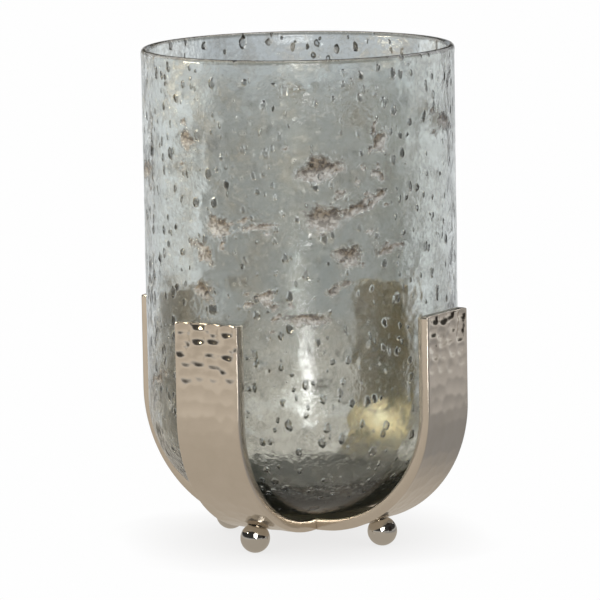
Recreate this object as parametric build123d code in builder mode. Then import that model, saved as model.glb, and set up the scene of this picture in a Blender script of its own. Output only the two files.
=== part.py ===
from build123d import *
import math
import os

# Hurricane candle holder: an open glass cylinder with a rounded, thick base stands in a cradle.
# The cradle is two U-shaped metal straps that cross under the glass in a half-lap joint,
# held by a rivet, and it stands on four ball feet, each screwed on from inside its strap.
#
# Frame: millimetres, +Z up, origin on the ground under the crossing.
# One strap runs left to right (X), the other front to back (Y, front is -Y).

os.makedirs("parts", exist_ok=True)

# ---------------------------------------------------------------- driving dimensions

# whole object
overall_height = 242.0  # ground to the rim of the glass

# glass vessel
glass_radius = 76.0  # outside, a 6 inch cylinder
glass_wall = 4.0
glass_corner = 55.0  # outside radius between wall and base
glass_floor_thickness = 12.0  # thick base left by blowing
glass_floor_radius = 34.0  # flat part of the inside floor

# cradle straps
strap_width = 36.0
strap_thickness = 6.0
strap_outer_radius = 83.5  # axis to the outer face of an arm
strap_bend = 63.0  # bend radius of the strap's outer face
strap_underside = 8.0  # ground to the flat stretch of strap
arm_top = 117.0  # ground to the arm tips
tip_corner = 2.0  # rounding of the tip's corners

# crossing
rivet_radius = 3.0
rivet_head_radius = 5.0
pad_radius = 17.0  # thin cushion disc under the glass
pad_thickness = 2.0

# feet and their screws
foot_radius = 7.2
foot_centre_height = 7.0  # a little less than the radius: each ball has a small flat to stand on
foot_reach = 44.5  # axis to the middle of a ball
screw_radius = 2.0  # M4 countersunk
screw_head_radius = 4.0
screw_length = 10.0
screw_recess = 0.2  # head below the strap's inner face
socket_flats = 2.5  # hexagon key
socket_depth = 1.5
countersink_angle = 90.0

# ---------------------------------------------------------------- derived dimensions

bend_centre = strap_outer_radius - strap_bend  # axis to the bend's centre
bend_height = strap_underside + strap_bend
strap_top = strap_underside + strap_thickness  # top of the flat stretch
lap_height = strap_underside + strap_thickness / 2
inner_bend = strap_bend - strap_thickness

glass_base = strap_top + pad_thickness
glass_bore = glass_radius - glass_wall
glass_floor = glass_base + glass_floor_thickness
floor_corner = glass_bore - glass_floor_radius
rim_round = glass_wall / 2

# a foot's screw lies on the line from the bend's centre to the middle of the ball
foot_run = foot_reach - bend_centre
foot_drop = bend_height - foot_centre_height
screw_tilt = math.atan2(foot_run, foot_drop)
head_cone = screw_head_radius - screw_radius

arms = {"right": 0, "back": 90, "left": 180, "front": 270}  # name: direction in degrees from +X


def radial_plane(angle):
    """Upright plane through the axis: local x runs outwards along an arm, local y runs up."""
    a = math.radians(angle)
    return Plane(origin=(0, 0, 0), x_dir=(math.cos(a), math.sin(a), 0),
                 z_dir=(math.sin(a), -math.cos(a), 0))


def screw_plane(angle, recess=0.0):
    """Plane on the strap's inner face above a foot, its normal pointing along the screw to the head."""
    reach = inner_bend + recess
    upright = radial_plane(angle)
    spot = upright.from_local_coords((bend_centre + reach * math.sin(screw_tilt),
                                      bend_height - reach * math.cos(screw_tilt), 0))
    tip = upright.from_local_coords((bend_centre, bend_height, 0))
    return Plane(origin=spot, z_dir=tip - spot)


# ---------------------------------------------------------------- glass vessel

with BuildPart() as glass_vessel:
    with BuildSketch(Plane.XZ):
        with BuildLine():
            base = Line((0, glass_base), (glass_radius - glass_corner, glass_base))
            shoulder = JernArc(base @ 1, (1, 0), glass_corner, 90)
            wall = Line(shoulder @ 1, (glass_radius, overall_height - rim_round))
            rim = JernArc(wall @ 1, (0, 1), rim_round, 180)
            bore = Line(rim @ 1, (glass_bore, glass_floor + floor_corner))
            bowl = JernArc(bore @ 1, (0, -1), floor_corner, -90)
            floor = Line(bowl @ 1, (0, glass_floor))
            Line(floor @ 1, base @ 0)
        make_face()
    revolve(axis=Axis.Z)
glass_vessel.part.label = "glass_vessel"
export_step(glass_vessel.part, "parts/glass_vessel.step")

# ---------------------------------------------------------------- straps

lap_box_height = strap_thickness  # the lap cut runs clear of the strap's face

for strap_name, angle, lap_side in (
    ("strap_left_right", 0, Align.MAX),  # keeps the upper half of the lap
    ("strap_front_back", 90, Align.MIN),  # keeps the lower half
):
    with BuildPart() as strap:
        with BuildSketch(radial_plane(angle)):
            with BuildLine():
                under = Line((0, strap_underside), (bend_centre, strap_underside))
                outer_bend = JernArc(under @ 1, (1, 0), strap_bend, 90)
                outer_face = Line(outer_bend @ 1, (strap_outer_radius, arm_top))
                tip = Line(outer_face @ 1, (strap_outer_radius - strap_thickness, arm_top))
                inner_face = Line(tip @ 1, (strap_outer_radius - strap_thickness, bend_height))
                inside_bend = JernArc(inner_face @ 1, (0, -1), inner_bend, -90)
                Line(inside_bend @ 1, (0, strap_top))
                mirror(about=Plane.YZ)
            make_face()
        extrude(amount=strap_width / 2, both=True)

        # tips: the four upright corners of the two arm ends, each running through the strap
        tip_edges = [e for e in strap.edges() if abs(e.center().Z - arm_top) < 0.01
                     and abs(e.length - strap_thickness) < 0.01]
        fillet(tip_edges, tip_corner)

        # half-lap at the crossing
        with Locations((0, 0, lap_height)):
            Box(strap_width, strap_width, lap_box_height, align=(Align.CENTER, Align.CENTER, lap_side),
                mode=Mode.SUBTRACT)

        # rivet hole, countersunk on the face that this strap shows
        sink_face = Plane.XY.offset(strap_top) if lap_side == Align.MAX else \
            Plane(origin=(0, 0, strap_underside), z_dir=(0, 0, -1))
        with Locations(sink_face):
            CounterSinkHole(rivet_radius, rivet_head_radius, depth=strap_thickness,
                            counter_sink_angle=countersink_angle)

        # countersunk screw holes over the two feet
        for side in (angle, angle + 180):
            with Locations(screw_plane(side)):
                CounterSinkHole(screw_radius, screw_head_radius + screw_recess,
                                depth=strap_thickness + 1, counter_sink_angle=countersink_angle)
    strap.part.label = strap_name
    export_step(strap.part, f"parts/{strap_name}.step")

# ---------------------------------------------------------------- crossing rivet and pad

with BuildPart() as crossing_rivet:
    with BuildSketch(Plane.XZ):
        with BuildLine():
            Polyline(
                (0, strap_underside),
                (rivet_head_radius, strap_underside),
                (rivet_radius, strap_underside + rivet_head_radius - rivet_radius),
                (rivet_radius, strap_top - rivet_head_radius + rivet_radius),
                (rivet_head_radius, strap_top),
                (0, strap_top),
                close=True,
            )
        make_face()
    revolve(axis=Axis.Z)
crossing_rivet.part.label = "crossing_rivet"
export_step(crossing_rivet.part, "parts/crossing_rivet.step")

with BuildPart(Plane.XY.offset(strap_top)) as glass_pad:
    Cylinder(pad_radius, pad_thickness, align=(Align.CENTER, Align.CENTER, Align.MIN))
glass_pad.part.label = "glass_pad"
export_step(glass_pad.part, "parts/glass_pad.step")

# ---------------------------------------------------------------- ball feet and their screws

for arm_name, angle in arms.items():
    with BuildPart(radial_plane(angle)) as foot:
        with Locations((foot_reach, foot_centre_height, 0)):
            Sphere(foot_radius)
        # saddle that fits the strap's bend
        with Locations((bend_centre, bend_height, 0)):
            Cylinder(strap_bend, 4 * foot_radius, mode=Mode.SUBTRACT)
        # flat to stand on
        with Locations((foot_reach, 0, 0)):
            Box(4 * foot_radius, foot_radius, 4 * foot_radius,
                align=(Align.CENTER, Align.MAX, Align.CENTER), mode=Mode.SUBTRACT)
        # tapped hole
        with BuildSketch(screw_plane(angle, screw_recess)):
            Circle(screw_radius)
        extrude(amount=-screw_length, mode=Mode.SUBTRACT)
    foot.part.label = f"foot_{arm_name}"
    export_step(foot.part, f"parts/foot_{arm_name}.step")

    with BuildPart(screw_plane(angle, screw_recess)) as screw:
        Cylinder(screw_radius, screw_length, align=(Align.CENTER, Align.CENTER, Align.MAX))
        Cone(screw_radius, screw_head_radius, head_cone, align=(Align.CENTER, Align.CENTER, Align.MAX))
        with BuildSketch(screw_plane(angle, screw_recess)):
            RegularPolygon(socket_flats / 2, 6, major_radius=False)
        extrude(amount=-socket_depth, mode=Mode.SUBTRACT)
    screw.part.label = f"foot_screw_{arm_name}"
    export_step(screw.part, f"parts/foot_screw_{arm_name}.step")
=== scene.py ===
# %% [markdown]
# # A hurricane candle holder
# A hand-blown glass cylinder stands in a cradle: two U-shaped straps of hammered, nickel-plated
# steel that cross under it, on four ball feet. The frame file holds the measured parts. Every
# size and place below comes from it, or from a named size in millimetres.

# %% Load the measured parts
import math
import random

import bmesh
import bpy
from mathutils import Matrix, Vector, kdtree, noise


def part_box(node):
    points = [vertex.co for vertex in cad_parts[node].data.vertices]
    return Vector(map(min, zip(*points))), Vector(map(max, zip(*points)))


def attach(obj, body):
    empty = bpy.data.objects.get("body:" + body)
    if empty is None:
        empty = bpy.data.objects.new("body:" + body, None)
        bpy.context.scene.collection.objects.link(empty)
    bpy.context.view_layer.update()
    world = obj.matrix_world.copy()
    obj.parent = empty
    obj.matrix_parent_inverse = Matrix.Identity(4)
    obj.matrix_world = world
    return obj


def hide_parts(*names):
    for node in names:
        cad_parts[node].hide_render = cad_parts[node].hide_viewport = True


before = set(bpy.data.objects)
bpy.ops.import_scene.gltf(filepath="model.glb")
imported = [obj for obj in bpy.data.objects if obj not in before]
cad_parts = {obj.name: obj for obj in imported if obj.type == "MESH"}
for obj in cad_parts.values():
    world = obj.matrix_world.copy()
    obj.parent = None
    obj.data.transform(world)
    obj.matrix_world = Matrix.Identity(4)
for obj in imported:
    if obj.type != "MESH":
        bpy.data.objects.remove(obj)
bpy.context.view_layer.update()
scene = bpy.context.scene
MM = 0.001

# %% [markdown]
# The camera looks slightly down from about 2.4 m with a long lens, so upright lines stay upright
# and the rim shows as a thin ellipse. Standard view keeps the colours as they are mixed.

# %% Camera
CAMERA_AZIMUTH = math.radians(33.5)  # between the front arm and the right arm
CAMERA_PITCH = math.radians(8.4)
CAMERA_ROLL = math.radians(-1.0)
CAMERA_DISTANCE = 2.4
AIM_HEIGHT = 0.120
LENS_SHIFT = (-0.003, -0.009)  # slides the view a little without turning the camera
FIELD_WIDTH = 0.2925  # metres across the view, at the object

camera_data = bpy.data.cameras.new("camera")
camera = bpy.data.objects.new("camera", camera_data)
scene.collection.objects.link(camera)
scene.camera = camera
toward_camera = Vector((math.sin(CAMERA_AZIMUTH) * math.cos(CAMERA_PITCH),
                        -math.cos(CAMERA_AZIMUTH) * math.cos(CAMERA_PITCH),
                        math.sin(CAMERA_PITCH)))
camera.location = Vector((0, 0, AIM_HEIGHT)) + toward_camera * CAMERA_DISTANCE
camera.rotation_euler = (toward_camera.to_track_quat("Z", "Y").to_matrix()
                         @ Matrix.Rotation(CAMERA_ROLL, 3, "Z")).to_euler()
camera_data.lens = camera_data.sensor_width * CAMERA_DISTANCE / FIELD_WIDTH
camera_data.shift_x, camera_data.shift_y = LENS_SHIFT
camera_data.clip_end = 100
scene.view_settings.view_transform = "Standard"
print("lens, mm:", round(camera_data.lens, 1))

# %% [markdown]
# Two helpers serve every material. One turns a hex colour, as a paint program shows it, into the
# linear numbers that Blender mixes. The other adds a node, sets it and links it in one call.

# %% Material helpers
PER_METRE = 1 / MM  # PER_METRE / size is the texture scale whose cells are that many mm
print("texture scale for 1 mm cells:", PER_METRE)


def linear(hex_colour):
    """An sRGB hex colour as linear RGBA."""
    channels = [int(hex_colour[i:i + 2], 16) / 255 for i in (1, 3, 5)]
    return [c / 12.92 if c <= 0.04045 else ((c + 0.055) / 1.055) ** 2.4 for c in channels] + [1]


def node(owner, kind, settings=None, inputs=None):
    """Adds a node to a material or world. inputs maps a socket's name or number to a value or
    to another node's output."""
    tree = owner.node_tree
    made = tree.nodes.new(kind)
    for name, value in (settings or {}).items():
        setattr(made, name, value)
    for key, value in (inputs or {}).items():
        if isinstance(value, bpy.types.NodeSocket):
            tree.links.new(value, made.inputs[key])
        else:
            made.inputs[key].default_value = value
    return made


def new_material(name):
    """An empty node material."""
    material = bpy.data.materials.new(name)
    material.use_nodes = True
    material.node_tree.nodes.clear()
    return material


def finish_piece(name, shape, body, replaced, materials):
    """Puts a finished bmesh in the scene as one piece that stands for CAD nodes."""
    mesh = bpy.data.meshes.new(name)
    shape.to_mesh(mesh)
    shape.free()
    for material in materials:
        mesh.materials.append(material)
    mesh.polygons.foreach_set("use_smooth", [True] * len(mesh.polygons))
    piece = bpy.data.objects.new(name, mesh)
    scene.collection.objects.link(piece)
    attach(piece, body)
    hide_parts(*replaced)
    print(name, "faces:", len(mesh.polygons))
    return piece


# %% [markdown]
# ## Glass
# Seeded soda-lime glass, blown by hand: clear, faintly green-grey where it is thick. It is one
# closed wall with air inside and out, so light bends twice at each side. Lamps reach through it
# because shadow rays meet a plain clear shader instead.

# %% Clear glass
GLASS_IOR = 1.50
HAZE = 0.10  # roughness of hand-blown glass that was never polished
CLEAR = "#f9fcfb"
SHADOW_TINT = "#dfe3e1"
print("glass bends light by:", GLASS_IOR)


def finish_glass(material, surface):
    """Shows the surface to every ray but a lamp's shadow rays, which pass through."""
    path = node(material, "ShaderNodeLightPath")
    open_way = node(material, "ShaderNodeBsdfTransparent", None, {"Color": linear(SHADOW_TINT)})
    both = node(material, "ShaderNodeMixShader", None,
                {0: path.outputs["Is Shadow Ray"], 1: surface, 2: open_way.outputs[0]})
    node(material, "ShaderNodeOutputMaterial", None, {"Surface": both.outputs[0]})


# %% [markdown]
# Outside, seeds that burst leave small pits, each tinted dark inside: painted shade for the dark a
# pit shows where it bends light. They follow the way the gather was pulled, so they are taller than
# wide. Voronoi cells place one pit each, and the cell's own random colour decides whether it has
# one, how wide it is and how dark its painted shade is.

# %% Burst seeds
PIT_CELL = 5.0  # mm between seeds
PIT_STRETCH = 0.68
PIT_WANDER = 2.2 * MM  # how far a pit strays from a neat oval
WANDER_LENGTH = 3.5  # mm
PIT_WIDTHS = (0.16, 0.43)  # as shares of a cell
CELLS_WITHOUT = 0.26  # share of cells that have no pit


def burst_seeds(m, place):
    """How deep the pits are, from 0 to 1, and the random colour of their cells."""
    wander = node(m, "ShaderNodeTexNoise", None,
                  {"Vector": place, "Scale": PER_METRE / WANDER_LENGTH, "Detail": 1.0})
    strayed = node(m, "ShaderNodeVectorMath", {"operation": "MULTIPLY_ADD"},
                   {0: wander.outputs["Color"], 1: (PIT_WANDER,) * 3, 2: place})
    pulled = node(m, "ShaderNodeMapping", None,
                  {"Vector": strayed.outputs[0], "Scale": (1, 1, PIT_STRETCH)})
    cells = node(m, "ShaderNodeTexVoronoi", None,
                 {"Vector": pulled.outputs[0], "Scale": PER_METRE / PIT_CELL})
    lot = node(m, "ShaderNodeSeparateColor", None, {0: cells.outputs["Color"]})
    edge = node(m, "ShaderNodeMapRange", None,
                {"Value": lot.outputs[1], "To Min": PIT_WIDTHS[0], "To Max": PIT_WIDTHS[1]})
    bottom = node(m, "ShaderNodeMath", {"operation": "MULTIPLY"}, {0: edge.outputs[0], 1: 0.5})
    hollow = node(m, "ShaderNodeMapRange", {"interpolation_type": "SMOOTHSTEP"},
                  {"Value": cells.outputs["Distance"], "From Min": edge.outputs[0],
                   "From Max": bottom.outputs[0]})
    chosen = node(m, "ShaderNodeMath", {"operation": "GREATER_THAN"},
                  {0: lot.outputs[0], 1: CELLS_WITHOUT})
    pit = node(m, "ShaderNodeMath", {"operation": "MULTIPLY"},
               {0: hollow.outputs[0], 1: chosen.outputs[0]})
    return pit, lot


# %% [markdown]
# Where froth dried on the wall it left a brown crust, dark along its top edge. Below that edge
# its colour is painted pale, a painted highlight for the glints of the froth. The mesh carries its
# place as the attribute "crust" and its top edge as "crust_top". The material gives it two browns,
# broken up by a fine grain, and a ragged edge.

# %% Dried froth
CRUST_ROUGHNESS = 0.25  # glazed by the flame, so it still glints
RAGGED_EDGE = -0.3


def dried_froth(m, crust, grain, relief):
    """The crust, and how much of the glass it hides."""
    fleck = node(m, "ShaderNodeMapRange", {"interpolation_type": "SMOOTHSTEP"},
                 {"Value": grain.outputs["Fac"], "From Min": 0.40, "From Max": 0.60})
    top_edge = node(m, "ShaderNodeAttribute", {"attribute_name": "crust_top"})
    # painted highlight: both browns turn near-white on the lower part of the crust
    light_flecks_glint_below = node(m, "ShaderNodeMix", {"data_type": "RGBA"},
               {0: top_edge.outputs["Fac"], 6: linear("#f4f2ef"), 7: linear("#8c7d68")})
    dark_flecks_glint_below = node(m, "ShaderNodeMix", {"data_type": "RGBA"},
                {0: top_edge.outputs["Fac"], 6: linear("#b4aea6"), 7: linear("#4a3d30")})
    browns = node(m, "ShaderNodeMix", {"data_type": "RGBA"},
                  {0: fleck.outputs[0], 6: dark_flecks_glint_below.outputs[2], 7: light_flecks_glint_below.outputs[2]})
    scab = node(m, "ShaderNodeBsdfPrincipled", None,
                {"Base Color": browns.outputs[2], "Roughness": CRUST_ROUGHNESS,
                 "Normal": relief.outputs[0]})
    ragged = node(m, "ShaderNodeMath", {"operation": "MULTIPLY_ADD"},
                  {0: fleck.outputs[0], 1: RAGGED_EDGE, 2: crust.outputs["Fac"]})
    thickness = node(m, "ShaderNodeMapRange", None,
                     {"Value": top_edge.outputs["Fac"], "To Min": 0.7, "To Max": 0.9})
    cover = node(m, "ShaderNodeMapRange", None,
                 {"Value": ragged.outputs[0], "From Max": 0.55, "To Max": thickness.outputs[0]})
    return scab, cover


# %% [markdown]
# The outer skin puts these together. The slow waves of blowing come first, the pits are pressed
# into them, and a fine roughness follows where froth dried: each bump passes its normal on to the
# next. Last, the crust covers the glass where the mesh says so.

# %% Outer skin
OUTER_WAVE = 20.0  # mm
FROTH_PATCH = 26.0  # mm
CRUST_GRAIN = 1.8  # mm
WAVE_RELIEF = 0.9 * MM
PIT_RELIEF = 1.6 * MM
FROTH_RELIEF = 1.5 * MM
PIT_SHADE = "#1f1d18"  # painted shade in the hollow of a burst seed


def make_outer_glass():
    m = new_material("blown_seeded_glass")
    place = node(m, "ShaderNodeTexCoord").outputs["Object"]
    ripple = node(m, "ShaderNodeTexNoise", None,
                  {"Vector": place, "Scale": PER_METRE / OUTER_WAVE, "Detail": 1.5})
    wave = node(m, "ShaderNodeBump", None,
                {"Height": ripple.outputs["Fac"], "Strength": 0.5, "Distance": WAVE_RELIEF})
    pit, lot = burst_seeds(m, place)
    dent = node(m, "ShaderNodeBump", {"invert": True},
                {"Height": pit.outputs[0], "Strength": 1.0, "Distance": PIT_RELIEF,
                 "Normal": wave.outputs[0]})
    crust = node(m, "ShaderNodeAttribute", {"attribute_name": "crust"})
    grain = node(m, "ShaderNodeTexNoise", None,
                 {"Vector": place, "Scale": PER_METRE / CRUST_GRAIN, "Detail": 3.0})
    frothy = node(m, "ShaderNodeMapRange", None,
                  {"Value": crust.outputs["Fac"], "From Max": 0.3, "To Min": 0.02})
    foam = node(m, "ShaderNodeTexNoise", None,
                {"Vector": place, "Scale": PER_METRE / FROTH_PATCH, "Detail": 3.0})
    foamy = node(m, "ShaderNodeMapRange", {"interpolation_type": "SMOOTHSTEP"},
                 {"Value": foam.outputs["Fac"], "From Min": 0.45, "From Max": 0.64, "To Max": 0.2})
    strength = node(m, "ShaderNodeMath", {"operation": "MAXIMUM"},
                    {0: frothy.outputs[0], 1: foamy.outputs[0]})
    froth = node(m, "ShaderNodeBump", None,
                 {"Height": grain.outputs["Fac"], "Strength": strength.outputs[0],
                  "Distance": FROTH_RELIEF, "Normal": dent.outputs[0]})
    # painted shade: the hollow of each pit is tinted dark
    pit_shade_share = node(m, "ShaderNodeMapRange", None, {"Value": lot.outputs[2], "To Min": 0.35})
    pit_shade = node(m, "ShaderNodeMath", {"operation": "MULTIPLY"},
                {0: pit.outputs[0], 1: pit_shade_share.outputs[0]})
    tint = node(m, "ShaderNodeMix", {"data_type": "RGBA"},
                {0: pit_shade.outputs[0], 6: linear(CLEAR), 7: linear(PIT_SHADE)})
    clear = node(m, "ShaderNodeBsdfPrincipled", None,
                 {"Base Color": tint.outputs[2], "Roughness": HAZE, "IOR": GLASS_IOR,
                  "Transmission Weight": 1.0, "Normal": froth.outputs[0]})
    scab, cover = dried_froth(m, crust, grain, froth)
    both = node(m, "ShaderNodeMixShader", None,
                {0: cover.outputs[0], 1: clear.outputs[0], 2: scab.outputs[0]})
    finish_glass(m, both.outputs[0])
    return m


outer_glass = make_outer_glass()
print("outer skin nodes:", len(outer_glass.node_tree.nodes))

# %% [markdown]
# Inside, the wall keeps a faint bloom of dried salts and specks of silvering: tan in one place,
# grey-green in the next, and thin enough to see through. It is a half-metallic shader mixed in
# where two noises together are high. The inside floor is covered with a dark sheet, painted shade
# for the dark of the thick base.

# %% Inner skin
BLOOM_PATCH = 12.0  # mm
SPECK = 2.4  # mm
INNER_WAVE = 14.0  # mm
INNER_WAVE_RELIEF = 1.5 * MM
SPECK_RELIEF = 0.6 * MM
BLOOM_COVER = 0.34  # at its thickest
BASE_SHADE_HEIGHTS = (34 * MM, 28.5 * MM)  # where the painted shade of the base begins and where it is full
BASE_SHADE_COVER = 0.95


def make_inner_glass():
    m = new_material("bloomed_inside_glass")
    place = node(m, "ShaderNodeTexCoord").outputs["Object"]
    ripple = node(m, "ShaderNodeTexNoise", None,
                  {"Vector": place, "Scale": PER_METRE / INNER_WAVE, "Detail": 2.0})
    wave = node(m, "ShaderNodeBump", None,
                {"Height": ripple.outputs["Fac"], "Strength": 0.4,
                 "Distance": INNER_WAVE_RELIEF})
    clear = node(m, "ShaderNodeBsdfPrincipled", None,
                 {"Base Color": linear(CLEAR), "Roughness": HAZE, "IOR": GLASS_IOR,
                  "Transmission Weight": 1.0, "Normal": wave.outputs[0]})
    patch = node(m, "ShaderNodeTexNoise", None,
                 {"Vector": place, "Scale": PER_METRE / BLOOM_PATCH, "Detail": 4.0})
    speck = node(m, "ShaderNodeTexNoise", None,
                 {"Vector": place, "Scale": PER_METRE / SPECK, "Detail": 2.0})
    relief = node(m, "ShaderNodeBump", None,
                  {"Height": speck.outputs["Fac"], "Strength": 0.4, "Distance": SPECK_RELIEF,
                   "Normal": wave.outputs[0]})
    tone = node(m, "ShaderNodeMix", {"data_type": "RGBA"},
                {0: patch.outputs["Fac"], 6: linear("#8d9893"), 7: linear("#a8937a")})
    fleck = node(m, "ShaderNodeMapRange", None,
                 {"Value": speck.outputs["Fac"], "From Min": 0.56, "From Max": 0.80})
    salts = node(m, "ShaderNodeMix", {"data_type": "RGBA"},
                 {0: fleck.outputs[0], 6: tone.outputs[2], 7: linear("#e6e6e3")})
    bloom = node(m, "ShaderNodeBsdfPrincipled", None,
                 {"Base Color": salts.outputs[2], "Metallic": 0.5, "Roughness": 0.3,
                  "Normal": relief.outputs[0]})
    height = node(m, "ShaderNodeSeparateXYZ", None, {0: place})
    # painted shade: a dark sheet covers the inside floor, darker towards the bottom
    toward_base_shade = node(m, "ShaderNodeMapRange", {"interpolation_type": "SMOOTHSTEP"},
                   {"Value": height.outputs["Z"], "From Min": BASE_SHADE_HEIGHTS[0],
                    "From Max": BASE_SHADE_HEIGHTS[1]})
    base_shade = node(m, "ShaderNodeBsdfPrincipled", None,
                {"Base Color": linear("#26271f"), "Roughness": 0.6, "Normal": wave.outputs[0]})
    base_shade_share = node(m, "ShaderNodeMath", {"operation": "MULTIPLY"},
                 {0: toward_base_shade.outputs[0], 1: BASE_SHADE_COVER})
    both_noises = node(m, "ShaderNodeMath", {"operation": "ADD"},
                       {0: patch.outputs["Fac"], 1: speck.outputs["Fac"]})
    cover = node(m, "ShaderNodeMapRange", None,
                 {"Value": both_noises.outputs[0], "From Min": 0.90, "From Max": 1.20,
                  "To Max": BLOOM_COVER})
    both = node(m, "ShaderNodeMixShader", None,
                {0: cover.outputs[0], 1: clear.outputs[0], 2: bloom.outputs[0]})
    floor_too = node(m, "ShaderNodeMixShader", None,
                     {0: base_shade_share.outputs[0], 1: both.outputs[0], 2: base_shade.outputs[0]})
    finish_glass(m, floor_too.outputs[0])
    return m


inner_glass = make_inner_glass()
print("inner skin nodes:", len(inner_glass.node_tree.nodes))

# %% [markdown]
# The vessel is turned from its outline, as a glass blower turns it on the pipe: half a profile
# spun round the axis. The profile runs from the middle of the base up the outside, over the
# rounded lip and down the inside. The outside has short steps, because it carries the craters.

# %% Vessel outline
GLASS_WALL = 4.0 * MM
GLASS_CORNER = 55.0 * MM  # outside radius between wall and base
FLOOR_THICKNESS = 12.0 * MM
FLOOR_RADIUS = 34.0 * MM  # flat part of the inside floor
SPIN_STEPS = 340
OUTER_STEP = 1.5 * MM
INNER_STEP = 5.0 * MM
LIP_SUPPORT = 0.4 * MM  # a short ring under the lip keeps its shading off the wall

vessel_low, vessel_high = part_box("glass_vessel")
glass_radius = vessel_high.x
glass_bore = glass_radius - GLASS_WALL
corner_height = vessel_low.z + GLASS_CORNER


def line_points(start, end, step):
    """Points along a line, about one step apart, without its end."""
    count = max(1, round(math.dist(start, end) / step))
    return [Vector(start).lerp(Vector(end), i / count) for i in range(count)]


def arc_points(centre, radius, start, end, step):
    """Points on an arc, with angles in degrees from straight down towards the outside."""
    count = max(1, round(radius * math.radians(abs(end - start)) / step))
    angles = [math.radians(start + (end - start) * i / count) for i in range(count)]
    return [Vector((centre[0] + radius * math.sin(a), centre[1] - radius * math.cos(a)))
            for a in angles]


def vessel_profile():
    """Half of the vessel's section, as distance from the axis and height."""
    base, top = vessel_low.z, vessel_high.z
    floor = base + FLOOR_THICKNESS
    inner_corner = glass_bore - FLOOR_RADIUS
    outer_centre = (glass_radius - GLASS_CORNER, corner_height)
    inner_centre = (FLOOR_RADIUS, floor + inner_corner)
    lip = GLASS_WALL / 2
    shoulder = top - lip - LIP_SUPPORT
    points = line_points((0, base), (outer_centre[0], base), INNER_STEP)
    points += arc_points(outer_centre, GLASS_CORNER, 0, 90, OUTER_STEP)
    points += line_points((glass_radius, corner_height), (glass_radius, shoulder), OUTER_STEP)
    points += [Vector((glass_radius, shoulder))]
    points += arc_points((glass_radius - lip, top - lip), lip, 90, 270, lip / 2)
    points += [Vector((glass_bore, top - lip))]
    points += line_points((glass_bore, shoulder), (glass_bore, inner_centre[1]), INNER_STEP)
    points += arc_points(inner_centre, inner_corner, 90, 0, INNER_STEP)
    points += line_points((FLOOR_RADIUS, floor), (0, floor), INNER_STEP)
    return points + [Vector((0, floor))]


vessel = bmesh.new()
outline = [vessel.verts.new((r, 0, z)) for r, z in vessel_profile()]
edges = [vessel.edges.new(pair) for pair in zip(outline, outline[1:])]
bmesh.ops.spin(vessel, geom=outline + edges, axis=(0, 0, 1), cent=(0, 0, 0), angle=2 * math.pi,
               steps=SPIN_STEPS, use_merge=True)
bmesh.ops.remove_doubles(vessel, verts=vessel.verts, dist=MM / 1000)
bmesh.ops.recalc_face_normals(vessel, faces=vessel.faces)
vessel.normal_update()
print("vessel corners:", len(vessel.verts))

# %% [markdown]
# Hand blowing leaves a slow ripple in the wall, and the largest seeds leave craters with a soft
# lip. Both press the outside inwards, so the vessel never grows past its measured radius. A tree
# of the outer corners finds the few that each crater touches.

# %% Ripples and craters
RIPPLE = 0.35 * MM
RIPPLE_LENGTH = 34 * MM
CRATERS = 150
CRATER_RADII = (1.8 * MM, 4.0 * MM)
CRATER_SLOPE = 0.18  # depth as a share of the radius
CRATER_MARGINS = (20 * MM, 8 * MM)  # kept free at the base and at the lip
DEEPEST = 1.3 * MM

dice = random.Random(11)
noise.seed_set(11)  # without a seed, noise_vector differs from run to run


def wall_point(angle, z, depth=0.0):
    """A place on the outside, following the round corner below the upright wall."""
    across = glass_radius - depth
    if z < corner_height:
        across = (glass_radius - GLASS_CORNER
                  + math.sqrt((GLASS_CORNER - depth) ** 2 - (corner_height - z) ** 2))
    return Vector((across * math.cos(angle), across * math.sin(angle), z))


# both layers are made before either is used, because making one moves the others
vessel.verts.layers.float.new("crust")
vessel.verts.layers.float.new("crust_top")
crust_layer = vessel.verts.layers.float["crust"]
top_layer = vessel.verts.layers.float["crust_top"]
outside = [v for v in vessel.verts
           if v.normal.to_2d().dot(v.co.to_2d()) > 0 and v.normal.to_2d().length > 0.3
           and v.co.z < vessel_high.z - GLASS_WALL]
finder = kdtree.KDTree(len(outside))
for index, v in enumerate(outside):
    finder.insert(v.co, index)
finder.balance()
inward = [RIPPLE * (0.5 + 0.5 * noise.noise(v.co / RIPPLE_LENGTH)) for v in outside]
for _ in range(CRATERS):
    angle = dice.uniform(0, 2 * math.pi)
    z = dice.uniform(vessel_low.z + CRATER_MARGINS[0], vessel_high.z - CRATER_MARGINS[1])
    radius = dice.triangular(*CRATER_RADII, CRATER_RADII[0])
    for _, index, distance in finder.find_range(wall_point(angle, z), radius):
        inward[index] += CRATER_SLOPE * radius * (1 - (distance / radius) ** 2)
print("outer corners:", len(outside), "deepest, mm:",
      round(min(max(inward), DEEPEST) / MM, 2))

# %% [markdown]
# The brown crusts sit in clusters. Those on the front are listed as bearing in degrees
# from the middle of the front, height, half width and half height in mm, and slant in degrees.
# The rest of the wall has others by chance, and each has small ones scattered round it.

# %% Crusts
CRUSTS = [(7, 190, 15, 7, 10), (-31, 163, 9, 7, -25), (-37, 150, 8, 3, -50), (-15, 163, 13, 2, 10),
          (9, 167, 12, 8, 8), (21, 171, 10, 4, 14), (29, 177, 6, 3, 20), (17, 149, 10, 7, -10),
          (-38, 131, 6, 6, 0), (-14, 130, 7, 3, 0), (32, 150, 8, 3, 5), (12, 133, 7, 2, 20),
          (2, 119, 14, 4, 0), (31, 203, 7, 5, 60), (29, 186, 7, 3, -40), (-45, 202, 4, 9, 0)]
CHANCE_CRUSTS = 22
CHANCE_ARC = (-40, 220)  # degrees round the wall that the placed ones leave free
CHANCE_HEIGHTS = (60, 215)  # mm
SATELLITES = 4  # small crusts scattered round each of the others
RAGGED_SIZE = 5 * MM
RAGGED_DEPTH = 3 * MM
CRUST_EDGE = 1.5  # how fast a crust gains thickness from its rim

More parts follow.
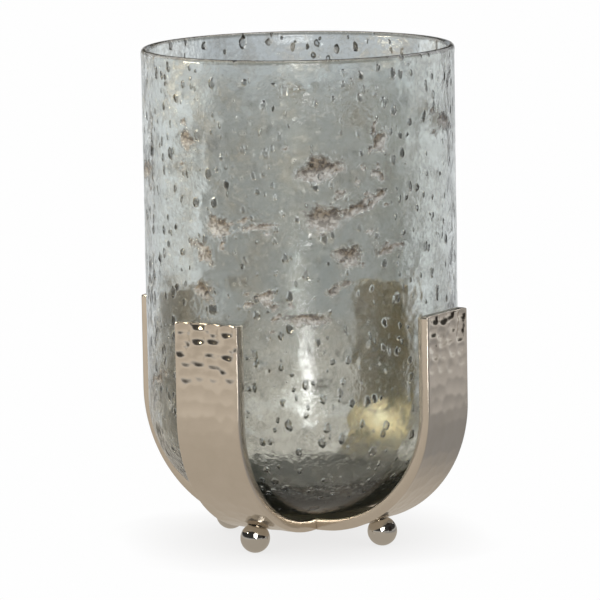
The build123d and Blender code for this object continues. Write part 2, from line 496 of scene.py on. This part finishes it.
crusts = [(CAMERA_AZIMUTH - math.pi / 2 + math.radians(bearing), z * MM, wide * MM, tall * MM,
           math.radians(slant)) for bearing, z, wide, tall, slant in CRUSTS]
for _ in range(CHANCE_CRUSTS):
    angle = CAMERA_AZIMUTH + math.radians(dice.uniform(*CHANCE_ARC))
    crusts.append((angle, dice.uniform(*CHANCE_HEIGHTS) * MM, dice.uniform(5, 14) * MM,
                   dice.uniform(2, 6) * MM, dice.uniform(-0.6, 0.6)))
for angle, z, wide, tall, slant in crusts[:]:
    for _ in range(SATELLITES):
        crusts.append((angle + dice.uniform(-1.3, 1.3) * wide / glass_radius,
                       z + dice.uniform(-1.8, 1.8) * tall, dice.uniform(1.5, 3.5) * MM,
                       dice.uniform(1.0, 2.2) * MM, slant))

crust_share = [0.0] * len(outside)
crust_tops = [0.0] * len(outside)
for angle, z, wide, tall, slant in crusts:
    middle = wall_point(angle, z)
    sideways = Vector((-math.sin(angle), math.cos(angle), 0))
    for co, index, _ in finder.find_range(middle, wide + tall):
        step = co - middle
        across, up = step.dot(sideways), step.z
        rag = noise.noise_vector(co / RAGGED_SIZE) * min(RAGGED_DEPTH, tall)
        along = across * math.cos(slant) + up * math.sin(slant) + rag.x
        away = up * math.cos(slant) - across * math.sin(slant) + rag.y
        share = min(1.0, CRUST_EDGE * (1 - math.hypot(along / wide, away / tall)))
        if share > crust_share[index]:
            crust_share[index] = share
            # 1 along the top edge of the crust, falling to 0 below
            crust_tops[index] = min(1.0, max(0.0, 0.65 + 1.3 * away / tall))

for v, depth, share, top_share in zip(outside, inward, crust_share, crust_tops):
    v.co -= v.normal * min(depth, DEEPEST)
    v[crust_layer] = share
    v[top_layer] = top_share
print("crusts:", len(crusts))

# %% [markdown]
# The wall's two sides look different: pits and crusts outside, bloom inside. Each face gets its
# skin by the way it points, so one closed wall carries both.

# %% Two skins
for f in vessel.faces:
    middle = f.calc_center_median()
    faces_axis = f.normal.to_2d().dot(middle.to_2d()) < 0
    on_floor = middle.to_2d().length < FLOOR_RADIUS + INNER_STEP and f.normal.z > 0.5
    f.material_index = 1 if faces_axis or on_floor else 0
print("inner faces:", sum(f.material_index for f in vessel.faces))

# %% [markdown]
# Seeds that didn't burst are air bubbles inside the wall. Each is a small ball turned inside out,
# because its surface is where the glass ends, stretched along the pull and leaning a little.

# %% Seeds
SEEDS = 300
SEED_DEPTH = 2.4 * MM
SEED_SIZES = (0.35, 0.9)  # mm, as radii
SEED_THICKEST = 0.8 * MM  # so that it stays inside the wall
SEED_STRETCH = (1.3, 2.8)
SEED_LEAN = 0.3  # radians, either way

one_bubble = bmesh.new()
bmesh.ops.create_uvsphere(one_bubble, u_segments=8, v_segments=6, radius=1)
bmesh.ops.reverse_faces(one_bubble, faces=one_bubble.faces)
round_bubble = bpy.data.meshes.new("bubble")
one_bubble.to_mesh(round_bubble)
one_bubble.free()

bubbles = bmesh.new()
for _ in range(SEEDS):
    angle = dice.uniform(0, 2 * math.pi)
    z = dice.uniform(corner_height, vessel_high.z - 5 * MM)
    size = dice.uniform(*SEED_SIZES) * MM
    shape = Matrix.Diagonal((min(size, SEED_THICKEST), size,
                             size * dice.uniform(*SEED_STRETCH), 1))
    tilt = dice.uniform(-SEED_LEAN, SEED_LEAN)
    lean = Matrix.Rotation(angle, 4, "Z") @ Matrix.Rotation(tilt, 4, "X")
    place = Matrix.Translation(wall_point(angle, z, SEED_DEPTH)) @ lean @ shape
    first = len(bubbles.verts)
    bubbles.from_mesh(round_bubble, face_normals=False)
    bubbles.verts.ensure_lookup_table()
    for v in bubbles.verts[first:]:
        v.co = place @ v.co
seed_mesh = bpy.data.meshes.new("seeds")
bubbles.to_mesh(seed_mesh)
bubbles.free()
vessel.from_mesh(seed_mesh)
finish_piece("glass_cylinder", vessel, "glass", ["glass_vessel"],
             [outer_glass, inner_glass])

# %% [markdown]
# ## Metal
# Steel strap, hammered, polished and plated with nickel: a warm white mirror, a little yellow
# beside chrome. Handling and old polish give it a fine haze, so its roughness wanders.

# %% Nickel
POLISH_CLOUD = 12.0  # mm
BACK_ROUGHER = 0.12  # the inner face of a strap got less polishing
POLISH_GRAIN = 0.9  # mm: real polishing lines are finer, and would not show
POLISH_RELIEF = 0.15 * MM


def make_nickel(name, colour, dull_colour, roughness, haze, back_shade_colour=None):
    """A bright metal. With a back shade colour, the attribute "back" roughens the side that has it
    and darkens it with painted shade.
    """
    m = new_material(name)
    place = node(m, "ShaderNodeTexCoord").outputs["Object"]
    cloud = node(m, "ShaderNodeTexNoise", None,
                 {"Vector": place, "Scale": PER_METRE / POLISH_CLOUD, "Detail": 4.0})
    rough = node(m, "ShaderNodeMapRange", None,
                 {"Value": cloud.outputs["Fac"], "To Min": roughness, "To Max": roughness + haze})
    tone = node(m, "ShaderNodeMix", {"data_type": "RGBA"},
                {0: cloud.outputs["Fac"], 6: linear(colour), 7: linear(dull_colour)})
    # painted shade: the inner face gets a darker brown nickel
    if back_shade_colour:
        back = node(m, "ShaderNodeAttribute", {"attribute_name": "back"})
        tone = node(m, "ShaderNodeMix", {"data_type": "RGBA"},
                    {0: back.outputs["Fac"], 6: tone.outputs[2], 7: linear(back_shade_colour)})
        rough = node(m, "ShaderNodeMath", {"operation": "MULTIPLY_ADD"},
                     {0: back.outputs["Fac"], 1: BACK_ROUGHER, 2: rough.outputs[0]})
    grain = node(m, "ShaderNodeTexNoise", None,
                 {"Vector": place, "Scale": PER_METRE / POLISH_GRAIN, "Detail": 3.0})
    skin = node(m, "ShaderNodeBump", None,
                {"Height": grain.outputs["Fac"], "Strength": 0.10, "Distance": POLISH_RELIEF})
    metal = node(m, "ShaderNodeBsdfPrincipled", None,
                 {"Base Color": tone.outputs[2], "Metallic": 1.0, "Roughness": rough.outputs[0],
                  "Normal": skin.outputs[0]})
    node(m, "ShaderNodeOutputMaterial", None, {"Surface": metal.outputs[0]})
    return m


# the last colour is painted shade for the inner faces
hammered_nickel = make_nickel("hammered_nickel_plate", "#e0d6c9", "#d4cabb", 0.10, 0.14,
                              "#a09178")
polished_nickel = make_nickel("polished_nickel_plate", "#d6d2cb", "#c9c3b9", 0.05, 0.06)
bright_steel = make_nickel("bright_screw_steel", "#bdbab4", "#a8a49d", 0.2, 0.15)
print("metals:", [m.name for m in (hammered_nickel, polished_nickel, bright_steel)])

# %% [markdown]
# A strap is made as a smith makes it. A flat bar with rounded edges is hammered on its outer face
# while it is straight, and then bent to a U. Bending is a formula from the distance along the bar
# to a place on the U, so the hammer marks follow the bend.

# %% The bend
STRAP_BEND = 63.0 * MM  # bend radius of the outer face

strap_low, strap_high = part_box("strap_left_right")
strap_width = strap_high.y - strap_low.y
reach = strap_high.x
flat_half = reach - STRAP_BEND
bend_length = STRAP_BEND * math.pi / 2
arm_length = strap_high.z - (strap_low.z + STRAP_BEND)
bar_half = flat_half + bend_length + arm_length
print("straight bar, mm:", round(2 * bar_half / MM, 1))


def bend(along, across, depth):
    """A place on the U from a place on the bar. depth is counted inwards from the outer face."""
    side = 1 if along >= 0 else -1
    run = abs(along)
    if run <= flat_half:
        x, z = run, strap_low.z + depth
    elif run <= flat_half + bend_length:
        a = (run - flat_half) / STRAP_BEND
        x = flat_half + (STRAP_BEND - depth) * math.sin(a)
        z = strap_low.z + STRAP_BEND - (STRAP_BEND - depth) * math.cos(a)
    else:
        x = reach - depth
        z = strap_low.z + STRAP_BEND + run - flat_half - bend_length
    return Vector((side * x, across, z))


# %% [markdown]
# Two hammers made the marks. A broad one planished the whole face: shallow facets, a finger's
# width apart. A ball-peen then struck the last 30 mm of each arm: small round dimples in rows,
# deep enough to catch the dark of the room.

# %% Hammer marks
BROAD_SPACING = 7.0 * MM
BROAD_FACE = 48 * MM  # radius of the broad hammer's face
BROAD_FADE = 4 * MM  # marks fade out this close to the edges
PEEN_ROWS = 5
PEEN_COLUMNS = 4
PEEN_ROW_STEP = 5.6 * MM
PEEN_RADIUS = 3.5 * MM
PEEN_DEPTH = 1.15 * MM
PEEN_FADE = 0.16  # each row is this much shallower than the one above it
PEEN_STRAY = 0.9  # mm, how far a blow falls from its place in the row
PEEN_END = 2.2 * MM  # from the end of the bar to the first row
BROAD_STRAY = 0.3  # of the spacing
PEEN_WIDER = 1.15  # the ball struck a little sideways, so a dimple is wider than tall


def mark_tree(points):
    """A tree that finds the marks nearest to a place on the bar."""
    tree = kdtree.KDTree(len(points))
    for index, point in enumerate(points):
        tree.insert(Vector((*point, 0)), index)
    tree.balance()
    return tree


def broad_marks(marks_dice):
    """Where the broad hammer fell, in staggered rows along the bar."""
    rows = round(2 * bar_half / BROAD_SPACING)
    columns = round(strap_width / BROAD_SPACING) + 1
    jitter = BROAD_STRAY * BROAD_SPACING
    return [(-bar_half + i * BROAD_SPACING + marks_dice.uniform(-jitter, jitter),
             (j - columns / 2 + 0.5 * (i % 2)) * BROAD_SPACING + marks_dice.uniform(-jitter, jitter))
            for i in range(rows + 1) for j in range(columns + 1)]


def peen_marks(marks_dice):
    """Rows of dimples at both ends, as distance along, place across and depth."""
    marks = []
    for side in (-1, 1):
        for row in range(PEEN_ROWS):
            for column in range(PEEN_COLUMNS):
                along = bar_half - PEEN_END - row * PEEN_ROW_STEP
                along += marks_dice.gauss(0, PEEN_STRAY) * MM
                across = (column - (PEEN_COLUMNS - 1) / 2) * strap_width / (PEEN_COLUMNS + 0.3)
                across += marks_dice.gauss(0, PEEN_STRAY) * MM
                depth = PEEN_DEPTH * (1 - PEEN_FADE * row) * marks_dice.uniform(0.75, 1.1)
                marks.append((side * along, across, depth))
    return marks


def hammered(broad_tree, peens, peen_tree, x, y):
    """How far the outer face is pressed in at one place on the bar."""
    _, _, gap = broad_tree.find(Vector((x, y, 0)))
    edge = min(1.0, (strap_width / 2 - abs(y)) / BROAD_FADE)
    pressed = (BROAD_SPACING ** 2 / 2 - gap * gap) / (2 * BROAD_FACE) * max(0.0, edge)
    pressed = max(0.0, pressed)
    for _, index, far in peen_tree.find_range(Vector((x, y / PEEN_WIDER, 0)), PEEN_RADIUS):
        pressed += peens[index][2] * (1 - (far / PEEN_RADIUS) ** 2)
    return pressed


print("dimples on each arm:", PEEN_ROWS * PEEN_COLUMNS)

# %% [markdown]
# Where the straps cross, each loses half its thickness, as a smith would file it, so that they lie
# in one another. A Boolean with a block cuts it, and a hair of a gap keeps the two apart. The cut
# is applied at once, so the piece keeps a plain mesh.

# %% Half-lap
STRAP_THICKNESS = 6.0 * MM
LAP_GAP = 0.06 * MM


def lap_block(keep_upper):
    """A block that takes away half the thickness where the other strap passes."""
    lap = strap_low.z + STRAP_THICKNESS / 2
    height = 3 * STRAP_THICKNESS
    side = -1 if keep_upper else 1
    middle = Vector((0, 0, lap + side * (height - LAP_GAP) / 2))
    wide = strap_width + LAP_GAP
    block = bmesh.new()
    bmesh.ops.create_cube(block, size=1, matrix=Matrix.Translation(middle)
                          @ Matrix.Diagonal((wide, wide, height, 1)))
    mesh = bpy.data.meshes.new("lap_block")
    block.to_mesh(mesh)
    block.free()
    cutter = bpy.data.objects.new("lap_block", mesh)
    scene.collection.objects.link(cutter)
    return cutter


def cut_lap(piece, keep_upper):
    """Cuts the lap into a finished strap."""
    cutter = lap_block(keep_upper)
    cut = piece.modifiers.new("lap", "BOOLEAN")
    cut.object = cutter
    cut.operation = "DIFFERENCE"
    cut.solver = "EXACT"
    bpy.context.view_layer.update()
    graph = bpy.context.evaluated_depsgraph_get()
    result = bpy.data.meshes.new_from_object(piece.evaluated_get(graph))
    piece.modifiers.clear()
    piece.data = result
    bpy.data.objects.remove(cutter)
    print(piece.name, "faces after the lap:", len(result.polygons))


# %% [markdown]
# Each strap starts as a cube stretched to a bar. Bevel rounds its edges, and two subdivisions cut
# it finely enough for the hammer marks. Only its outer face is hammered. The inner face keeps a
# rougher finish, which the attribute "back" passes to the nickel, and there the nickel is also
# darker: painted shade.

# %% Straps
EDGE_ROUND = 0.9 * MM
BAR_STEP = 0.85 * MM


def make_strap(name, node_name, seed, turn, keep_upper):
    """A hammered, bent and lapped strap, turned about the axis to its place."""
    bar = bmesh.new()
    bmesh.ops.create_cube(bar, size=1, matrix=Matrix.Diagonal(
        (2 * bar_half, strap_width, STRAP_THICKNESS, 1)))
    bmesh.ops.bevel(bar, geom=bar.edges[:], offset=EDGE_ROUND, segments=3, affect="EDGES",
                    profile=0.5, material=-1, offset_type="OFFSET", clamp_overlap=True)
    long_edges = [e for e in bar.edges if e.calc_length() > bar_half]
    bmesh.ops.subdivide_edges(bar, edges=long_edges, cuts=round(2 * bar_half / BAR_STEP),
                              use_grid_fill=True)
    wide_edges = [e for e in bar.edges if e.calc_length() > 0.8 * strap_width]
    bmesh.ops.subdivide_edges(bar, edges=wide_edges, cuts=round(strap_width / BAR_STEP),
                              use_grid_fill=True)
    marks_dice = random.Random(seed)
    broad_tree = mark_tree(broad_marks(marks_dice))
    peens = peen_marks(marks_dice)
    peen_tree = mark_tree([(along, across / PEEN_WIDER) for along, across, _ in peens])
    back_layer = bar.verts.layers.float.new("back")
    for v in bar.verts:  # only the flat faces are struck or dull, not the rounded edges
        x, y, z = v.co
        v[back_layer] = 1.0 if z > STRAP_THICKNESS / 2 - EDGE_ROUND / 3 else 0.0
        struck = z < -STRAP_THICKNESS / 2 + EDGE_ROUND / 3
        pressed = hammered(broad_tree, peens, peen_tree, x, y) if struck else 0.0
        v.co = bend(x, y, z + STRAP_THICKNESS / 2 + pressed)
    bmesh.ops.rotate(bar, verts=bar.verts, cent=(0, 0, 0), matrix=Matrix.Rotation(turn, 3, "Z"))
    bmesh.ops.recalc_face_normals(bar, faces=bar.faces)
    piece = finish_piece(name, bar, "cradle", [node_name], [hammered_nickel])
    cut_lap(piece, keep_upper)


make_strap("hammered_strap_left_right", "strap_left_right", 5, 0, True)
make_strap("hammered_strap_front_back", "strap_front_back", 8, math.pi / 2, False)

# %% [markdown]
# The ball feet, the rivet and the foot screws already have their true turned shapes, so they only
# get a finish: polished nickel, and bright steel for the screws.

# %% Feet, rivet and screws


def refinish(node_name, material):
    """Gives a measured part its finish and leaves its shape alone."""
    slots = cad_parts[node_name].data.materials
    slots.clear()
    slots.append(material)


ARMS = ("right", "back", "left", "front")
for arm in ARMS:
    refinish(f"foot_{arm}", polished_nickel)
    refinish(f"foot_screw_{arm}", bright_steel)
refinish("crossing_rivet", polished_nickel)
print("feet finished:", len(ARMS))

# %% [markdown]
# The pad is a disc of moulded rubber, dull and dark, that keeps glass off metal. A cone of equal
# radii makes the disc, and bevelled rims make it look moulded.

# %% Rubber pad
RUBBER_GRAIN = 0.8  # mm
PAD_ROUND = 0.6 * MM


def make_rubber():
    m = new_material("moulded_grey_rubber")
    place = node(m, "ShaderNodeTexCoord").outputs["Object"]
    grain = node(m, "ShaderNodeTexNoise", None,
                 {"Vector": place, "Scale": PER_METRE / RUBBER_GRAIN, "Detail": 4.0})
    tone = node(m, "ShaderNodeMix", {"data_type": "RGBA"},
                {0: grain.outputs["Fac"], 6: linear("#34352f"), 7: linear("#4a4b44")})
    skin = node(m, "ShaderNodeBump", None,
                {"Height": grain.outputs["Fac"], "Strength": 0.4, "Distance": 0.1 * MM})
    rubber = node(m, "ShaderNodeBsdfPrincipled", None,
                  {"Base Color": tone.outputs[2], "Roughness": 0.7, "Normal": skin.outputs[0]})
    node(m, "ShaderNodeOutputMaterial", None, {"Surface": rubber.outputs[0]})
    return m


pad_low, pad_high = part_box("glass_pad")
pad_radius = (pad_high.x - pad_low.x) / 2
pad_height = pad_high.z - pad_low.z
pad = bmesh.new()
bmesh.ops.create_cone(pad, cap_ends=True, segments=96, radius1=pad_radius, radius2=pad_radius,
                      depth=pad_height,
                      matrix=Matrix.Translation((0, 0, (pad_low.z + pad_high.z) / 2)))
rim_edges = [e for e in pad.edges if abs(e.verts[0].co.z - e.verts[1].co.z) < MM / 100]
bmesh.ops.bevel(pad, geom=rim_edges, offset=PAD_ROUND, segments=3, affect="EDGES", profile=0.5,
                material=-1)
finish_piece("rubber_pad", pad, "cradle", ["glass_pad"], [make_rubber()])

# %% [markdown]
# ## Studio
# A pale floor under a pale surround. As in a product studio, what the camera sees and what the
# glass and the metal mirror are lit apart: they mirror a warm, darker table, a dark ceiling and
# soft panels, which give a clear object its edges. Ambient Occlusion draws the soft contact
# shadow round the feet.

# %% Floor
FLOOR_HALF = 12.0  # metres
CONTACT_REACH = 0.045  # metres that the contact shadow spreads

floor_shape = bmesh.new()
bmesh.ops.create_grid(floor_shape, x_segments=1, y_segments=1, size=FLOOR_HALF)
floor_mesh = bpy.data.meshes.new("floor")
floor_shape.to_mesh(floor_mesh)
floor_shape.free()
floor = bpy.data.objects.new("floor", floor_mesh)
scene.collection.objects.link(floor)

paper = new_material("pale_paper")
path = node(paper, "ShaderNodeLightPath")
shade = node(paper, "ShaderNodeAmbientOcclusion", {"samples": 12}, {"Distance": CONTACT_REACH})
white = node(paper, "ShaderNodeMix", {"data_type": "RGBA"},
             {0: shade.outputs["AO"], 6: linear("#e6e5e4"), 7: linear("#fefefe")})
seen = node(paper, "ShaderNodeEmission", None, {"Color": white.outputs[2]})
print("floor, m across:", 2 * FLOOR_HALF)

# %% [markdown]
# What glass and metal mirror is a table: warm in front, cooler to the right, paler far behind. It
# is one mix of colours by the place on the floor, in metres to the right of the object and behind
# it. Paper and table both glow by themselves, so no lamp stains them, and the light path chooses
# between them.

# %% The mirrored table
table_place = node(paper, "ShaderNodeMapping", None,
                   {"Vector": node(paper, "ShaderNodeTexCoord").outputs["Object"],
                    "Rotation": (0, 0, -CAMERA_AZIMUTH)})
across = node(paper, "ShaderNodeSeparateXYZ", None, {0: table_place.outputs[0]})
right = node(paper, "ShaderNodeMapRange", {"interpolation_type": "SMOOTHSTEP"},
             {"Value": across.outputs["X"], "From Min": 0.05, "From Max": 0.15})
far_right = node(paper, "ShaderNodeMapRange", {"interpolation_type": "SMOOTHSTEP"},
                 {"Value": across.outputs["X"], "From Min": 0.2, "From Max": 0.65})
behind = node(paper, "ShaderNodeMapRange", {"interpolation_type": "SMOOTHSTEP"},
              {"Value": across.outputs["Y"], "From Min": 0.0, "From Max": 0.1})
far_behind = node(paper, "ShaderNodeMapRange", {"interpolation_type": "SMOOTHSTEP"},
                  {"Value": across.outputs["Y"], "From Min": 0.3, "From Max": 0.6})
back_table = node(paper, "ShaderNodeMix", {"data_type": "RGBA"},
                  {0: far_behind.outputs[0], 6: linear("#bcb5aa"), 7: linear("#e0e3e4")})
far_left = node(paper, "ShaderNodeMapRange", None,
                {"Value": across.outputs["X"], "From Min": -0.05, "From Max": -0.8})
front_table = node(paper, "ShaderNodeMix", {"data_type": "RGBA"},
                   {0: far_left.outputs[0], 6: linear("#bdb6ac"), 7: linear("#dcd5cb")})
left_table = node(paper, "ShaderNodeMix", {"data_type": "RGBA"},
                  {0: behind.outputs[0], 6: front_table.outputs[2], 7: back_table.outputs[2]})
right_table = node(paper, "ShaderNodeMix", {"data_type": "RGBA"},
                   {0: far_right.outputs[0], 6: linear("#979798"), 7: linear("#bcbbbb")})
near_table = node(paper, "ShaderNodeMix", {"data_type": "RGBA"},
                  {0: right.outputs[0], 6: left_table.outputs[2], 7: right_table.outputs[2]})
distant = node(paper, "ShaderNodeMapRange", {"interpolation_type": "SMOOTHSTEP"},
               {"Value": across.outputs["Y"], "From Min": 0.4, "From Max": 0.8})
table = node(paper, "ShaderNodeMix", {"data_type": "RGBA"},
             {0: distant.outputs[0], 6: near_table.outputs[2], 7: linear("#e0e3e4")})
mirrored = node(paper, "ShaderNodeEmission", None, {"Color": table.outputs[2]})
both = node(paper, "ShaderNodeMixShader", None,
            {0: path.outputs["Is Camera Ray"], 1: mirrored.outputs[0], 2: seen.outputs[0]})
node(paper, "ShaderNodeOutputMaterial", None, {"Surface": both.outputs[0]})
paper.cycles.emission_sampling = "NONE"
floor_mesh.materials.append(paper)
print("floor nodes:", len(paper.node_tree.nodes))

# %% [markdown]
# The world is white for the camera. For light and reflections it is pale at the horizon and dark
# above, like a room whose only light is near the table: the hammer marks and the glass need dark
# to mirror as much as they need light. The Z of the direction climbs from 0 at the horizon to 1
# overhead.

# %% Surroundings
world = bpy.data.worlds.new("studio")
scene.world = world
world.use_nodes = True
world.node_tree.nodes.clear()
path = node(world, "ShaderNodeLightPath")
direction = node(world, "ShaderNodeTexCoord").outputs["Generated"]
parts = node(world, "ShaderNodeSeparateXYZ", None, {0: direction})
climb = node(world, "ShaderNodeMapRange", {"interpolation_type": "SMOOTHSTEP"},
             {"Value": parts.outputs["Z"], "From Min": 0.03, "From Max": 0.16,
              "To Min": 0.62, "To Max": 0.05})
room = node(world, "ShaderNodeBackground", None,
            {"Color": linear("#f3f2f0"), "Strength": climb.outputs[0]})
pale = node(world, "ShaderNodeBackground", None, {"Color": linear("#fefefe"), "Strength": 1.0})
either = node(world, "ShaderNodeMixShader", None,
              {0: path.outputs["Is Camera Ray"], 1: room.outputs[0], 2: pale.outputs[0]})
node(world, "ShaderNodeOutputWorld", None, {"Surface": either.outputs[0]})
print("world nodes:", len(world.node_tree.nodes))

# %% [markdown]
# Six soft boxes. Two at the back sides and one overhead light the edges. A window in front makes
# the bright glints on the glass and the balls. A low card draws the upright highlight on the
# vessel's belly, and a small warm lamp on the left glows in the polished inside of the back arm.

# %% Soft boxes


def bearing_point(bearing, distance, height):
    """A place round the object. bearing is in degrees from the camera, positive to its right."""
    a = CAMERA_AZIMUTH + math.radians(bearing)
    return Vector((math.sin(a) * distance, -math.cos(a) * distance, height))


def soft_box(name, bearing, distance, height, width, tall, power):
    """A rectangular lamp that faces the middle of the vessel. Sizes in metres, power in watts."""
    data = bpy.data.lights.new(name, "AREA")
    data.shape = "RECTANGLE"
    data.size, data.size_y, data.energy = width, tall, power
    lamp = bpy.data.objects.new(name, data)
    scene.collection.objects.link(lamp)
    lamp.location = bearing_point(bearing, distance, height)
    direction = Vector((0, 0, AIM_HEIGHT)) - lamp.location
    lamp.rotation_euler = direction.to_track_quat("-Z", "Y").to_euler()
    lamp.visible_camera = False
    return lamp


# name, bearing, distance, height, width, tall, power
soft_box("left_box", -140, 0.9, 0.75, 0.7, 0.8, 2.0)
soft_box("right_box", 140, 0.9, 0.75, 0.7, 0.8, 2.0)
soft_box("top_box", 180, 0.4, 1.5, 0.8, 0.8, 5)
soft_box("window", 3, 1.0, 0.50, 0.5, 0.5, 5)
soft_box("low_card", 3.0, 0.35, 0.050, 0.05, 0.024, 0.045)
warm = soft_box("warm_lamp", -78.5, 0.39, 0.30, 0.10, 0.09, 0.7)
warm.data.color = linear("#fff3d8")[:3]

# %% [markdown]
# Two boards stand near the object, as in any studio that shows glass. A grey one behind the vessel
# gives the clear wall its body between two bright strips. A black one on the right puts dark
# edges in the hammer marks and the ball feet. The camera doesn't see either, and neither casts a
# shadow.

# %% Boards for the glass to see
GREY_DISTANCE = 0.25  # metres, like all sizes of the boards
GREY_SIDES = (-0.0765, 0.062)
GREY_ENDS = (0.03, 0.30)
BLACK_BEARING = 66  # degrees
BLACK_DISTANCE = 0.45
BLACK_SIDES = (-0.10, 0.10)
BLACK_ENDS = (0.01, 0.26)


def stand_board(name, bearing, distance, sides, ends, material):
    """An upright board facing the axis, seen only in glass and metal."""
    shape = bmesh.new()
    turn = Matrix.Rotation(CAMERA_AZIMUTH + math.radians(bearing), 4, "Z")
    middle = Vector((sum(sides) / 2, -distance, sum(ends) / 2))
    bmesh.ops.create_cube(shape, size=1, matrix=turn @ Matrix.Translation(middle)
                          @ Matrix.Diagonal((sides[1] - sides[0], MM, ends[1] - ends[0], 1)))
    mesh = bpy.data.meshes.new(name)
    shape.to_mesh(mesh)
    shape.free()
    mesh.materials.append(material)
    board = bpy.data.objects.new(name, mesh)
    scene.collection.objects.link(board)
    board.visible_camera = False
    board.visible_shadow = False
    board.visible_diffuse = False
    print(name, "m across:", round(sides[1] - sides[0], 3))


# Both boards glow by themselves as painted light instead of being lit: the grey one paler at the top
# and warmer low down, the black one dim.
grey_card = new_material("grey_card")
card_place = node(grey_card, "ShaderNodeSeparateXYZ", None,
                  {0: node(grey_card, "ShaderNodeTexCoord").outputs["Object"]})
paler = node(grey_card, "ShaderNodeMapRange", {"interpolation_type": "SMOOTHSTEP"},
             {"Value": card_place.outputs["Z"], "From Min": 0.17, "From Max": 0.22})
lower = node(grey_card, "ShaderNodeMapRange", {"interpolation_type": "SMOOTHSTEP"},
             {"Value": card_place.outputs["Z"], "From Min": 0.085, "From Max": 0.03})
fading = node(grey_card, "ShaderNodeMix", {"data_type": "RGBA"},
              {0: lower.outputs[0], 6: linear("#8f918f"), 7: linear("#b9b2a7")})
greys = node(grey_card, "ShaderNodeMix", {"data_type": "RGBA"},
             {0: paler.outputs[0], 6: fading.outputs[2], 7: linear("#b4b9bd")})
glow = node(grey_card, "ShaderNodeEmission", None, {"Color": greys.outputs[2]})
node(grey_card, "ShaderNodeOutputMaterial", None, {"Surface": glow.outputs[0]})
grey_card.cycles.emission_sampling = "NONE"

black_card = new_material("black_card")
dim = node(black_card, "ShaderNodeEmission", None, {"Color": linear("#2b2725")})
node(black_card, "ShaderNodeOutputMaterial", None, {"Surface": dim.outputs[0]})
black_card.cycles.emission_sampling = "NONE"

stand_board("grey_board", 180, GREY_DISTANCE, GREY_SIDES, GREY_ENDS, grey_card)
stand_board("black_board", BLACK_BEARING, BLACK_DISTANCE, BLACK_SIDES, BLACK_ENDS, black_card)
